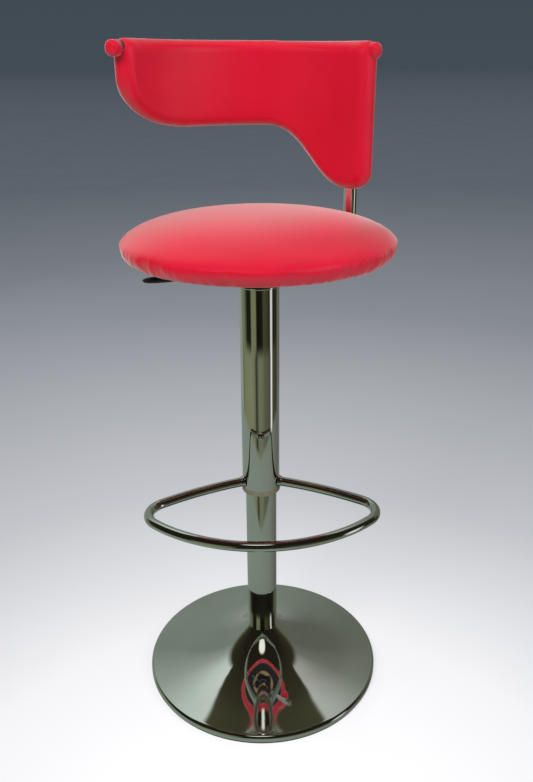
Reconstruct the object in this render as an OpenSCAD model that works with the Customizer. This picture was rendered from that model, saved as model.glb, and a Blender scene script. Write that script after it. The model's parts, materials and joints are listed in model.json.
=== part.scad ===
// Adjustable swivel stool: a gas-lift column on a trumpet base, with a footrest hoop,
// a round upholstered seat and a wrap-round padded back on one bent tube.
// The origin is on the floor under the middle of the column. The front of the footrest faces -Y.
// The seat stands at its highest; it is lowered by lift_travel. All sizes are in millimetres.

/* [Base] */
// Diameter of the round base
base_d = 398; // [340:1:460]
// Height of the base where it meets the column
base_neck_h = 80; // [55:1:110]
// Sheet thickness of the base shell
base_wall = 1.6; // [1:0.1:3]
// Height of the rounded rim above the floor
base_rim_h = 15; // [10:1:22]
// Share of the base's rise that is a plain cone
base_cone = 0.4; // [0.1:0.05:0.8]
// How sharply the rest of the rise sweeps up to the column
base_sweep = 3.2; // [2:0.1:6]

/* [Column] */
// Outer diameter of the fixed column
column_d = 50; // [40:1:60]
// Wall of the column tube
column_wall = 2; // [1.5:0.5:3]

/* [Sleeve and lift] */
// Room between the column and the inside of the sleeve
sleeve_room = 3.5; // [3:0.5:6]
// Wall of the sleeve tube
sleeve_wall = 1.5; // [1:0.1:2.5]
// Height of the bottom of the sleeve with the seat up
sleeve_bottom = 360; // [330:1:400]
// Height of the top of the sleeve with the seat up
sleeve_top = 697; // [640:1:780]
// How far the seat comes down
lift_travel = 200; // [150:5:240]
// Diameter of the gas cylinder
cylinder_d = 28; // [26:1:30]
// Diameter of the piston rod
rod_d = 10; // [8:1:12]

/* [Footrest] */
// Diameter of the footrest tube
foot_tube_d = 15; // [12:0.5:20]
// Height of the footrest above the bottom of the sleeve
foot_rise = 10; // [10:1:60]
// Reach of the footrest in front of the column
foot_reach = 197; // [170:1:230]
// Radius of the front bow of the footrest
foot_front_r = 231; // [210:1:260]
// Radius of its side corners
foot_corner_r = 37; // [28:1:48]
// Radius of its nearly straight side legs
foot_leg_r = 551; // [400:1:700]
// Angle at which a leg leaves the sleeve
foot_leg_angle = 20; // [10:1:30]
// How far the footrest is turned round the column
foot_turn = 1.3; // [-10:0.1:10]

/* [Seat] */
// Diameter of the seat cushion
seat_d = 406; // [360:1:460]
// Rise of the seat's widest line above the top of the sleeve
seat_rise = 53; // [50:1:80]
// Rise of the cushion's crown above that line
seat_crown = 50; // [35:1:80]
// Drop of the cushion's underside below that line
seat_under = 9; // [7:1:12]
// Width of the roll from that line in to the flat underside
seat_roll = 28; // [20:1:45]
// Fullness of the cushion's shoulder
seat_fullness = 2.3; // [1.8:0.1:3.5]
// Thickness of the plywood board
board_t = 12; // [9:1:18]
// Thickness of the vinyl cover
cover_t = 1.2; // [0.8:0.1:2]
// How far the seat group is turned round the column
seat_turn = 6; // [-30:0.5:30]

/* [Back] */
// Distance from the seat's edge out to the middle of the back panel
back_gap = 27; // [20:1:60]
// Padding on each side of the post and the rail
back_pad = 7; // [6.5:0.5:12]
// Half of the angle that the back spans
back_half_angle = 55.4; // [46:0.1:62]
// Height of the top of the back above the seat's widest line
back_rise = 279; // [230:1:350]
// Fall of the back's top edge from its middle to its right end
back_top_fall = 2.8; // [0:0.1:5]
// Height of the wide part of the back, from its top edge to its lower edge
back_h = 129; // [100:1:160]
// How far the lobe that holds the post hangs below the wide part
lobe_drop = 95; // [70:1:110]
// Angle between the post and the right end of the back
post_inset = 9.9; // [9:0.1:14]
// Diameter of the post tube
post_d = 22; // [18:1:27]
// Bend radius of the post tube
post_bend_r = 45; // [35:1:60]
// How far the covered ends of the top rail stand proud of the rail
rail_cap_over = 0.75; // [0.5:0.25:3]

/* [Lever] */
// Reach of the lift lever from the column
lever_reach = 172; // [150:1:190]
// Diameter of the lever rod
lever_d = 8; // [6:0.5:9]
// Angle of the lever round the column
lever_angle = -101.5; // [-130:0.5:-70]

/* [Hidden] */
fine = 96;

gap = 0.3;        // clearance between pieces that move past each other
touch = 0.05;     // clearance between pieces that lie against each other

// ---- Base ----
base_r = base_d / 2;
ring_h = 4;                            // rubber ring under the rim
ring_w = 16;
plate_t = 3;                           // pressed bottom plate
plate_z = ring_h + touch;
weight_t = 8;
flange_t = 6;
flange_r = 55;
flange_z = plate_z + plate_t + touch;
bolt_circle_r = 40;
bolt_count = 4;

// ---- Column ----
column_r = column_d / 2;
column_in_r = column_r - column_wall;
column_z = flange_z + flange_t + touch;
neck_gap = 0.1;                        // between the column and the base's neck
bush_len = 60;
bush_lip = 4;
cap_t = 3;                             // sleeve cap, which comes down to just above the bush
cap_skirt = 6;
column_top = sleeve_top - cap_t - cap_skirt - lift_travel - bush_lip - 4;

// ---- Bearing at the foot of the rod ----
spigot_r = rod_d / 2 - 1;
rod_seat_z = column_z + 16;
rod_seat_t = 8;
race_t = 2;
ball_r = 2;
race_r = 14;
ball_circle_r = 9.5;
ball_count = 8;
lower_race_z = rod_seat_z + rod_seat_t + touch;
cage_z = lower_race_z + race_t;
cage_h = 2 * ball_r;
upper_race_z = cage_z + cage_h;
shoulder_z = upper_race_z + race_t + touch;
clip_t = 1.5;
clip_z = rod_seat_z - clip_t - 0.2;

// ---- Gas spring ----
cylinder_r = cylinder_d / 2;
cylinder_in_r = cylinder_r - 2;
cylinder_top = sleeve_top + 17;
cylinder_bottom = shoulder_z + lift_travel + 16;
guide_len = 18;
piston_top = cylinder_bottom + guide_len + 24;
piston_len = 14;
taper_len = 22;
taper_drop = 1;                        // loss of radius over the taper
pin_r = 3;

// ---- Sleeve ----
sleeve_in_r = column_r + sleeve_room;
sleeve_r = sleeve_in_r + sleeve_wall;
foot_z = sleeve_bottom + foot_rise;
guide_ring_h = 8;
guide_depth = 30;
cap_over = 1.2;

// ---- Mechanism under the seat ----
seat_rim_z = sleeve_top + seat_rise;
board_z = seat_rim_z - seat_under + cover_t + touch;
seat_plate_t = 3;
seat_plate_z = board_z - seat_plate_t - touch - 1;
housing_l = 96;
housing_w = 62;
plate_hole_x = housing_l / 2 + 8;      // the plate's bolts stand clear of the housing
plate_hole_y = housing_w / 2 + 15;
seat_plate_l = 2 * (plate_hole_x + 14);
seat_plate_w = 2 * (plate_hole_y + 14);
plate_corner = norm([seat_plate_l, seat_plate_w]) / 2;
housing_t = 2.5;
taper_shown = 6;                       // length of the cylinder in view between sleeve and housing
housing_z = sleeve_top + taper_shown;
housing_h = seat_plate_z - housing_z - touch;
socket_r = cylinder_r + 7;
lever_arm = 34;                        // from the column's axis to the lever's pivot
pin_proud = 6;                         // how far the release pin stands above the cylinder
lever_z = cylinder_top + pin_proud + lever_d / 2 + gap;
lever_drop = 9;
lever_pin_r = 2.5;

// ---- Seat ----
seat_r = seat_d / 2;
board_r = seat_r - seat_roll;
lining_t = 0.8;
cover_fold = 10;                       // width of the cover's fold under the board

// ---- Post and back ----
back_r = seat_r + back_gap;
back_t = post_d + 2 * back_pad;
back_top = seat_rim_z + back_rise;
back_low = back_top - back_h;
lobe_low = back_low - lobe_drop;
post_angle = back_half_angle - post_inset;
post_r = back_r + 4.5;                 // radius at which the post stands
post_low_z = board_z - 8 - post_d / 2 - 1;
post_start = norm([housing_l, housing_w]) / 2 + 31;
clamp_l = 18;                          // length of a clamp along the post tube
clamp_w = post_d + 32;
clamp_x = [plate_corner + 12, plate_corner + 34];   // places of the clamps along the post tube
post_wall = 2;
cope_gap = 0.35;                       // lets the post's straight cope clear the curved rail
rail_r = back_r + 2.5;
rail_d = post_d;
rail_cap_r = rail_d / 2 + rail_cap_over;
rail_z = back_top - back_t / 2 + 3.5;
rail_tilt = atan(back_top_fall / (back_r * sin(back_half_angle)));
rail_left_angle = back_half_angle + 2;
rail_right_angle = back_half_angle - 0.4;
core_t = 5;
core_r = post_r - post_d / 2 - 0.5 - core_t;
screw_r = 2.5;

// Turns the seat group to its place round the column.
module seat_place() { rotate([0, 0, seat_turn]) children(); }

// Places something at an angle round the column, measured from +Y towards +X.
module round_to(angle) { rotate([0, 0, 90 - angle]) children(); }

// A ring with its bottom at z = 0.
module ring(outer, inner, h, facets = fine) {
    difference() {
        cylinder(r = outer, h = h, $fn = facets);
        translate([0, 0, -1]) cylinder(r = inner, h = h + 2, $fn = facets);
    }
}

// ---------------------------------------------------------------- Base

// Height of the outside of the base at a radius.
function base_height(r) =
    let (s = (base_r - 5 - r) / (base_r - 5 - column_r - neck_gap))
    base_rim_h + (base_neck_h - base_rim_h) * (base_cone * s + (1 - base_cone) * pow(s, base_sweep));

base_steps = 28;
function base_radius(i) = column_r + neck_gap + (base_r - 5 - column_r - neck_gap) * pow(i / base_steps, 1.5);

// The outside line of the base, from the neck to the rolled rim.
function base_line(inset) = concat(
    [for (i = [0 : base_steps]) [base_radius(i), base_height(base_radius(i)) - inset]],
    [for (a = [75 : -15 : 0])
        [base_r - 5 + (5 - inset) * cos(a), base_rim_h - 5 + (5 - inset) * sin(a)]],
    [[base_r - inset, ring_h + touch]]);

module base_shell() {
    outer = base_line(0);
    inner = base_line(base_wall);
    color("silver") rotate_extrude($fn = fine)
        polygon(concat(outer, [for (i = [len(inner) - 1 : -1 : 0]) inner[i]]));
}

module bolt_places(radius, count) {
    for (i = [0 : count - 1]) rotate([0, 0, 45 + i * 360 / count]) translate([radius, 0, 0]) children();
}

module base_plate() {
    color("dimgray") translate([0, 0, plate_z]) difference() {
        ring(base_r - base_wall - 0.5, 12, plate_t);
        bolt_places(bolt_circle_r, bolt_count) translate([0, 0, -1]) cylinder(r = 4.2, h = plate_t + 2, $fn = 32);
    }
}

module base_weight() {
    color("gray") translate([0, 0, plate_z + plate_t + touch]) ring(base_r - 42, flange_r + 6, weight_t - 1);
}

module base_ring() {
    color("black") ring(base_r - 2, base_r - 2 - ring_w, ring_h);
}

module column_flange() {
    color("dimgray") translate([0, 0, flange_z]) difference() {
        ring(flange_r, 12, flange_t);
        bolt_places(bolt_circle_r, bolt_count) translate([0, 0, -1]) cylinder(r = 4, h = flange_t + 2, $fn = 32);
    }
}

module flange_bolts() {
    shank = plate_t + flange_t + touch;
    color("gainsboro") bolt_places(bolt_circle_r, bolt_count) translate([0, 0, plate_z - touch]) {
        cylinder(r = 4 - touch, h = shank, $fn = 32);
        translate([0, 0, -3]) cylinder(r = 7, h = 3, $fn = 32);
    }
}

// ---------------------------------------------------------------- Column

module column_tube() {
    color("silver") translate([0, 0, column_z]) ring(column_r, column_in_r, column_top - column_z);
}

module column_bush() {
    color("ivory") translate([0, 0, column_top - bush_len]) difference() {
        union() {
            cylinder(r = column_in_r - touch, h = bush_len, $fn = fine);
            translate([0, 0, bush_len + touch]) cylinder(r = column_r - 0.2, h = bush_lip, $fn = fine);
            translate([0, 0, bush_len - 1]) cylinder(r = column_in_r - touch, h = 2, $fn = fine);
        }
        translate([0, 0, -1]) cylinder(r = cylinder_r + gap, h = bush_len + bush_lip + 3, $fn = fine);
    }
}

module rod_seat() {
    color("dimgray") translate([0, 0, rod_seat_z]) ring(column_in_r - touch, spigot_r + gap, rod_seat_t);
}

module lower_race() {
    color("gainsboro") translate([0, 0, lower_race_z]) ring(race_r, spigot_r + gap, race_t);
}

// ---------------------------------------------------------------- Thrust bearing

module ball_places() {
    for (i = [0 : ball_count - 1]) rotate([0, 0, i * 360 / ball_count])
        translate([ball_circle_r, 0, cage_z + ball_r]) children();
}

module ball_cage() {
    color("goldenrod") difference() {
        translate([0, 0, cage_z + 1]) ring(race_r - 0.5, spigot_r + 1, cage_h - 2);
        ball_places() translate([0, 0, -ball_r]) cylinder(r = ball_r + 0.1, h = cage_h, $fn = 32);
    }
}

module bearing_balls() {
    color("gainsboro") ball_places() sphere(r = ball_r - touch, $fn = 32);
}

module upper_race() {
    color("gainsboro") translate([0, 0, upper_race_z]) ring(race_r, spigot_r + touch, race_t);
}

module rod_clip() {
    color("dimgray") translate([0, 0, clip_z]) ring(spigot_r + 4, spigot_r + touch, clip_t);
}

// ---------------------------------------------------------------- Gas spring

module piston_rod() {
    color("silver") {
        translate([0, 0, shoulder_z]) cylinder(r = rod_d / 2, h = piston_top - 4 - shoulder_z, $fn = 48);
        translate([0, 0, clip_z - 4]) cylinder(r = spigot_r, h = shoulder_z - clip_z + 5, $fn = 48);
    }
}

module piston_head() {
    color("dimgray") translate([0, 0, piston_top - piston_len]) difference() {
        cylinder(r = cylinder_in_r - gap, h = piston_len, $fn = fine);
        translate([0, 0, -1]) cylinder(r = rod_d / 2 + touch, h = piston_len - 3 + touch, $fn = 48);
    }
}

module rod_buffer() {
    color("black") translate([0, 0, shoulder_z + 1]) ring(rod_d / 2 + 4, rod_d / 2 + touch, 12, 48);
}

module gas_cylinder() {
    straight_top = cylinder_top - taper_len;
    color("dimgray") difference() {
        union() {
            translate([0, 0, cylinder_bottom])
                cylinder(r = cylinder_r, h = straight_top - cylinder_bottom, $fn = fine);
            translate([0, 0, straight_top])
                cylinder(r1 = cylinder_r, r2 = cylinder_r - taper_drop, h = taper_len, $fn = fine);
        }
        translate([0, 0, cylinder_bottom - 1])
            cylinder(r = cylinder_in_r, h = straight_top - cylinder_bottom - 10, $fn = fine);
        translate([0, 0, straight_top - 20]) cylinder(r = pin_r + gap, h = taper_len + 21, $fn = 48);
    }
}

module rod_guide() {
    color("ivory") translate([0, 0, cylinder_bottom]) ring(cylinder_in_r - touch, rod_d / 2 + gap, guide_len);
}

module release_pin() {
    color("gainsboro") translate([0, 0, cylinder_top - 26])
        cylinder(r = pin_r, h = 26 + pin_proud, $fn = 48);
}

// ---------------------------------------------------------------- Sleeve

module sleeve_tube() {
    color("silver") translate([0, 0, sleeve_bottom])
        ring(sleeve_r, sleeve_in_r, sleeve_top - cap_t - touch - sleeve_bottom);
}

module sleeve_cap() {
    color("silver") difference() {
        union() {
            translate([0, 0, sleeve_top - cap_t]) cylinder(r = sleeve_r + cap_over, h = cap_t, $fn = fine);
            translate([0, 0, sleeve_top - cap_t - cap_skirt])
                cylinder(r = sleeve_in_r - touch, h = cap_skirt + 1, $fn = fine);
        }
        translate([0, 0, sleeve_top - cap_t - cap_skirt - 1])
            cylinder(r = cylinder_r + touch, h = cap_t + cap_skirt + 2, $fn = fine);
    }
}

module sleeve_guide() {
    lip_r = sleeve_r + 1;
    color("wheat") rotate_extrude($fn = fine) polygon([
        [column_r + gap, sleeve_bottom - guide_ring_h], [lip_r - 1.5, sleeve_bottom - guide_ring_h],
        [lip_r, sleeve_bottom - guide_ring_h + 1.5], [lip_r, sleeve_bottom - touch],
        [sleeve_in_r - touch, sleeve_bottom - touch],
        [sleeve_in_r - touch, sleeve_bottom + guide_depth], [column_r + gap, sleeve_bottom + guide_depth]]);
}

// ---------------------------------------------------------------- Footrest

// The hoop is a front bow, two side corners and two long legs, each tangent to the next.
foot_start = [sleeve_r * cos(foot_leg_angle), -sleeve_r * sin(foot_leg_angle)];
bow_centre = [0, foot_front_r - foot_reach];
leg_centre = foot_start - foot_leg_r * [sin(foot_leg_angle), cos(foot_leg_angle)];
leg_to_corner = foot_leg_r - foot_corner_r;
bow_to_corner = foot_front_r - foot_corner_r;
centre_gap = norm(bow_centre - leg_centre);
along = (pow(leg_to_corner, 2) - pow(bow_to_corner, 2) + pow(centre_gap, 2)) / (2 * centre_gap);
across = sqrt(pow(leg_to_corner, 2) - pow(along, 2));
toward = (bow_centre - leg_centre) / centre_gap;
corner_centre = leg_centre + along * toward + across * [toward[1], -toward[0]];

function direction(v) = atan2(v[1], v[0]);

leg_from = direction(foot_start - leg_centre) + 0.6;
leg_to = direction(corner_centre - leg_centre);
corner_to = direction(corner_centre - bow_centre);

// Stations along an arc of the hoop: each is a centre point and the outward direction there.
function arc_stations(centre, radius, from, to, count) = [for (i = [1 : count])
    let (a = from + (to - from) * i / count)
    [centre[0] + radius * cos(a), centre[1] + radius * sin(a), a]];
function mirrored(stations) = [for (i = [len(stations) - 1 : -1 : 0])
    [-stations[i][0], stations[i][1], -180 - stations[i][2]]];

hoop_sides = 20;
half_hoop = concat(
    [[leg_centre[0] + foot_leg_r * cos(leg_from), leg_centre[1] + foot_leg_r * sin(leg_from), leg_from]],
    arc_stations(leg_centre, foot_leg_r, leg_from, leg_to, 5),
    arc_stations(corner_centre, foot_corner_r, leg_to, corner_to, 12),
    arc_stations(bow_centre, foot_front_r, corner_to, -90, 10));
hoop_stations = concat(half_hoop, [for (i = [1 : len(half_hoop) - 1]) mirrored(half_hoop)[i]]);

module footrest_hoop() {
    n = hoop_sides;
    last = len(hoop_stations) - 1;
    points = [for (s = hoop_stations) for (i = [0 : n - 1])
        let (b = 360 * (i + 0.5) / n, out = foot_tube_d / 2 * cos(b))
        [s[0] + out * cos(s[2]), s[1] + out * sin(s[2]), foot_z + foot_tube_d / 2 * sin(b)]];
    sides = [for (k = [0 : last - 1], i = [0 : n - 1])
        each [[k * n + i, k * n + (i + 1) % n, (k + 1) * n + (i + 1) % n],
              [k * n + i, (k + 1) * n + (i + 1) % n, (k + 1) * n + i]]];
    ends = [[for (i = [n - 1 : -1 : 0]) i], [for (i = [0 : n - 1]) last * n + i]];
    color("silver") rotate([0, 0, foot_turn]) difference() {
        polyhedron(points = points, faces = concat(sides, ends));
        translate([0, 0, foot_z - foot_tube_d]) cylinder(r = sleeve_r + touch, h = 2 * foot_tube_d, $fn = fine);
    }
}

// ---------------------------------------------------------------- Mechanism

module taper_socket() {
    h = cylinder_top - housing_z - housing_t - touch;
    z = housing_z + housing_t + touch;
    low_r = cylinder_r - taper_drop * (z - cylinder_top + taper_len) / taper_len + touch;
    color("dimgray") translate([0, 0, z]) difference() {
        cylinder(r = socket_r, h = h, $fn = fine);
        translate([0, 0, -0.01])
            cylinder(r1 = low_r, r2 = cylinder_r - taper_drop + touch, h = h + 0.02, $fn = fine);
    }
}

// A folded steel channel, open at its outer end for the lever and at the top, where the plate closes it.
module lift_housing() {
    color("dimgray") seat_place() round_to(lever_angle) difference() {
        translate([-housing_l / 2, -housing_w / 2, housing_z]) cube([housing_l, housing_w, housing_h]);
        translate([-housing_l / 2 - 1, -housing_w / 2 + housing_t, housing_z + housing_t])
            cube([housing_l + 2, housing_w - 2 * housing_t, housing_h]);
        translate([0, 0, housing_z - 1]) cylinder(r = cylinder_r + touch, h = housing_t + 2, $fn = fine);
        translate([lever_arm, 0, lever_z]) rotate([90, 0, 0])
            cylinder(r = lever_pin_r + touch, h = housing_w + 2, center = true, $fn = 48);
    }
}

module plate_places() {
    seat_place() round_to(lever_angle)
        for (x = [-1, 1], y = [-1, 1]) translate([x * plate_hole_x, y * plate_hole_y, 0]) children();
}

module seat_plate() {
    color("dimgray") difference() {
        seat_place() round_to(lever_angle) translate([-seat_plate_l / 2, -seat_plate_w / 2, seat_plate_z])
            cube([seat_plate_l, seat_plate_w, seat_plate_t]);
        plate_places() translate([0, 0, seat_plate_z - 1]) cylinder(r = 3.3, h = seat_plate_t + 2, $fn = 32);
    }
}

module plate_bolts() {
    color("gainsboro") plate_places() {
        translate([0, 0, seat_plate_z - touch]) cylinder(r = 3, h = seat_plate_t + board_t - 1, $fn = 32);
        translate([0, 0, seat_plate_z - touch - 3.5]) cylinder(r = 5.5, h = 3.5, $fn = 32);
    }
}

module tee_nuts() {
    color("gainsboro") plate_places() difference() {
        union() {
            translate([0, 0, board_z + 3]) cylinder(r = 4.5, h = board_t - 3 + touch, $fn = 32);
            translate([0, 0, board_z + board_t + touch]) cylinder(r = 9, h = 1.5, $fn = 32);
        }
        translate([0, 0, board_z + 2]) cylinder(r = 3 + touch, h = board_t + 2, $fn = 32);
    }
}

// ---------------------------------------------------------------- Lever

lever_bend_x = 62;
lever_low_x = 104;
lever_low_z = lever_z - lever_drop;

module lever_rod() {
    run = lever_low_x - lever_bend_x;
    slope = atan2(lever_drop, run);
    color("silver") seat_place() round_to(lever_angle) difference() {
        union() {
            translate([-pin_r, 0, lever_z]) rotate([0, 90, 0])
                cylinder(r = lever_d / 2, h = lever_bend_x + pin_r, $fn = 48);
            translate([lever_bend_x, 0, lever_z]) sphere(r = lever_d / 2, $fn = 48);
            translate([lever_bend_x, 0, lever_z]) rotate([0, 90 + slope, 0])
                cylinder(r = lever_d / 2, h = norm([run, lever_drop]), $fn = 48);
            translate([lever_low_x, 0, lever_low_z]) sphere(r = lever_d / 2, $fn = 48);
            translate([lever_low_x, 0, lever_low_z]) rotate([0, 90, 0])
                cylinder(r = lever_d / 2, h = lever_reach - 22 - lever_low_x, $fn = 48);
            translate([lever_arm, 0, lever_z]) rotate([90, 0, 0])
                cylinder(r = lever_d / 2 + 2, h = 12, center = true, $fn = 48);
        }
        translate([lever_arm, 0, lever_z]) rotate([90, 0, 0])
            cylinder(r = lever_pin_r + 0.05, h = 30, center = true, $fn = 48);
    }
}

// A flattened paddle with round ends, pushed onto the rod.
module lever_grip() {
    inner_x = lever_reach - 42;
    color("black") seat_place() round_to(lever_angle) difference() {
        hull() for (x = [inner_x, lever_reach - 9]) translate([x, 0, lever_low_z]) {
            translate([0, 0, -3]) cylinder(r = x == inner_x ? 6 : 9, h = 6, $fn = 32);
            translate([0, 0, -5]) cylinder(r = x == inner_x ? 4 : 6, h = 10, $fn = 32);
        }
        translate([inner_x - 20, 0, lever_low_z]) rotate([0, 90, 0])
            cylinder(r = lever_d / 2 + touch, h = 40 + touch, $fn = 32);
    }
}

module lever_pin() {
    color("gainsboro") seat_place() round_to(lever_angle) translate([lever_arm, 0, lever_z])
        rotate([90, 0, 0]) {
            cylinder(r = lever_pin_r, h = housing_w + 3, center = true, $fn = 48);
            translate([0, 0, housing_w / 2 + touch]) cylinder(r = 4.5, h = 1.8, $fn = 48);
        }
}

// ---------------------------------------------------------------- Seat

// Half of the cushion's outline: a full crown above the rim line and a shallow roll below it.
seat_steps = 14;
function crown_line(r, rise, z) = [for (i = [0 : seat_steps])
    let (a = 90 * i / seat_steps)
    [r * pow(cos(a), 2 / seat_fullness), z + rise * pow(sin(a), 2 / seat_fullness)]];
function under_line(r, roll, drop, z) = [for (a = [0 : 15 : 90])
    [r - roll * (1 - cos(a)), z - drop * sin(a)]];

module seat_outline(inset) {
    low_z = seat_rim_z - seat_under + inset;
    under = under_line(seat_r - inset, seat_roll - inset, seat_under - inset, seat_rim_z);
    crown = crown_line(seat_r - inset, seat_crown - inset, seat_rim_z);
    polygon(concat([[0, low_z]], [for (i = [len(under) - 1 : -1 : 0]) under[i]],
        [for (i = [1 : seat_steps - 1]) crown[i]], [[0, seat_rim_z + seat_crown - inset]]));
}

module seat_board() {
    color("burlywood") difference() {
        translate([0, 0, board_z]) cylinder(r = board_r, h = board_t, $fn = fine);
        plate_places() translate([0, 0, board_z - 1]) cylinder(r = 4.5 + touch, h = board_t + 2, $fn = 32);
        clamp_places() translate([0, 0, board_z - 1]) cylinder(r = screw_r + touch, h = 10.5, $fn = 32);
    }
}

module seat_foam() {
    color("khaki") difference() {
        rotate_extrude($fn = fine) seat_outline(cover_t + touch);
        translate([0, 0, board_z - 10]) cylinder(r = board_r + touch, h = board_t + 10 + touch, $fn = fine);
        plate_places() translate([0, 0, board_z]) cylinder(r = 9 + touch, h = board_t + 3, $fn = 32);
    }
}

// The room that the clamps need in whatever lies beside them under the board.
module clamp_room() {
    length = clamp_l + 2 * gap;
    width = clamp_w + 2 * gap;
    seat_place() round_to(post_angle) for (x = clamp_x)
        translate([x - length / 2, -width / 2, post_low_z]) cube([length, width, board_z - post_low_z]);
}

// Where the fold under the board would meet a clamp, it is cut away round it.
module seat_cover() {
    color("crimson") difference() {
        rotate_extrude($fn = fine) difference() {
            seat_outline(0);
            seat_outline(cover_t);
            translate([-1, seat_rim_z - seat_under - 1])
                square([board_r - cover_fold + 1, cover_t + 2]);
        }
        clamp_room();
    }
}

module dust_cover() {
    color("black") difference() {
        translate([0, 0, board_z - lining_t - touch]) ring(board_r - cover_fold - 1, plate_corner + 1, lining_t);
        clamp_places() translate([0, 0, board_z - 2]) cylinder(r = screw_r + touch, h = 3, $fn = 32);
    }
}

// ---------------------------------------------------------------- Post

module back_post() {
    bend_x = post_r - post_bend_r;
    rail_under = rail_z - rail_d / 2 + 2;
    color("silver") seat_place() difference() {
        round_to(post_angle) union() {
            translate([bend_x, 0, post_low_z]) rotate([0, -90, 0])
                ring(post_d / 2, post_d / 2 - post_wall, bend_x - post_start, 48);
            translate([bend_x, 0, post_low_z + post_bend_r]) rotate([90, 0, 0]) rotate([0, 0, -90])
                rotate_extrude(angle = 90, $fn = fine) translate([post_bend_r, 0]) difference() {
                    circle(r = post_d / 2, $fn = 48);
                    circle(r = post_d / 2 - post_wall, $fn = 48);
                }
            translate([post_r, 0, post_low_z + post_bend_r])
                ring(post_d / 2, post_d / 2 - post_wall, rail_under - post_low_z - post_bend_r, 48);
        }
        rail_plane() round_to(post_angle) translate([rail_r, 0, 0]) rotate([90, 0, 0])
            cylinder(r = rail_d / 2 + cope_gap, h = 2 * rail_d, center = true, $fn = 48);
    }
}

module clamp_places() {
    seat_place() round_to(post_angle) for (x = clamp_x, y = [-1, 1])
        translate([x, y * (post_d / 2 + 8), 0]) children();
}

module post_clamps() {
    color("dimgray") difference() {
        seat_place() round_to(post_angle) for (x = clamp_x) difference() {
            translate([x - clamp_l / 2, -clamp_w / 2, post_low_z - 3])
                cube([clamp_l, clamp_w, board_z - lining_t - 2 * touch - post_low_z + 3]);
            translate([x - 10, 0, post_low_z]) rotate([0, 90, 0])
                cylinder(r = post_d / 2 + touch, h = 20, $fn = 48);
            translate([x - 10, -post_d / 2 - touch, post_low_z - 4])
                cube([20, post_d + 2 * touch, 4]);
        }
        clamp_places() translate([0, 0, post_low_z - 4])
            cylinder(r = screw_r + touch, h = board_z - post_low_z + 8, $fn = 32);
    }
}

module clamp_screws() {
    color("gainsboro") clamp_places() {
        translate([0, 0, post_low_z - 3 - touch]) cylinder(r = screw_r, h = board_z - post_low_z + 12, $fn = 32);
        translate([0, 0, post_low_z - 6 - touch]) cylinder(r = 4.5, h = 3, $fn = 32);
    }
}

module post_plug() {
    color("black") seat_place() round_to(post_angle) translate([post_start, 0, post_low_z])
        rotate([0, 90, 0]) {
            translate([0, 0, -3 - touch]) cylinder(r = post_d / 2, h = 3, $fn = 48);
            translate([0, 0, -1]) cylinder(r = post_d / 2 - post_wall - touch, h = 16, $fn = 48);
        }
}

// ---------------------------------------------------------------- Back

// The rail lies in one plane, tilted so that it follows the top edge of the back.
module rail_plane() { translate([0, 0, rail_z]) rotate([0, rail_tilt, 0]) children(); }

module rail_shape(tube_r, extra_angle = 0) {
    rail_plane() rotate([0, 0, 90 - rail_right_angle - extra_angle])
        rotate_extrude(angle = rail_left_angle + rail_right_angle + 2 * extra_angle, $fn = 120)
            translate([rail_r, 0]) circle(r = tube_r, $fn = 24);
}

module back_rail() {
    color("dimgray") seat_place() difference() {
        rail_shape(rail_d / 2);
        rail_shape(rail_d / 2 - post_wall, 1);
    }
}

// The room for a covered rail end, where it leaves the back.
module rail_end_room(clear) {
    for (side = [-1, 1]) rail_plane() round_to(side * back_half_angle) translate([rail_r, 0, 0])
        rotate([90, 0, 0]) cylinder(r = rail_cap_r + clear, h = 30, center = true, $fn = 24);
}

// The lower edge of the back, by angle: level on the wide side, then down in an uneven S to the post's lobe.
lobe_start = 40.3;                     // angle from the start of the S to the post
lobe_width = 38.3;                     // angle that the S takes
function uneven_s(t) = let (c = min(1, max(0, t))) pow(c, 2.4) / (pow(c, 2.4) + pow(1 - c, 1.5));
function lower_edge(angle) =
    back_low - (back_low - lobe_low) * uneven_s((angle - (post_angle - lobe_start)) / lobe_width);

// Rounded ends: how far the lower edge lifts near the ends of the back.
left_round = 34.6;                     // angle that the big rounding at the left end takes
left_rise = 95;
right_round = 9;
right_rise = 30;
function end_lift(angle, round_angle, rise) =
    let (s = min(1, max(0, (abs(angle) - (back_half_angle - round_angle)) / round_angle)))
    rise * (1 - pow(1 - pow(s, 2.3), 1 / 2.3));
function panel_low(angle) = lower_edge(angle)
    + (angle < 0 ? end_lift(angle, left_round, left_rise) : end_lift(angle, right_round, right_rise));
function panel_high(angle) = back_top - back_top_fall * sin(angle) / sin(back_half_angle);

// A rounded slab's cross-section at one angle, as a closed ring of points round the section.
section_points = 16;
function section(angle, inset, shrink) =
    let (
        low = panel_low(angle) + inset, high = panel_high(angle) - inset,
        mid = (low + high) / 2, half_h = max(0.5, (high - low) / 2),
        half_t = (back_t / 2 - inset) * shrink,
        corner = min(half_t, half_h))
    [for (i = [0 : section_points - 1])
        let (
            a = 360 * (i + 0.5) / section_points,
            side = sin(a) > 0 ? 1 : -1,
            r = back_r + half_t * cos(a),
            z = mid + side * (half_h - corner) + corner * sin(a))
        [r * sin(angle), r * cos(angle), z]];

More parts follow.
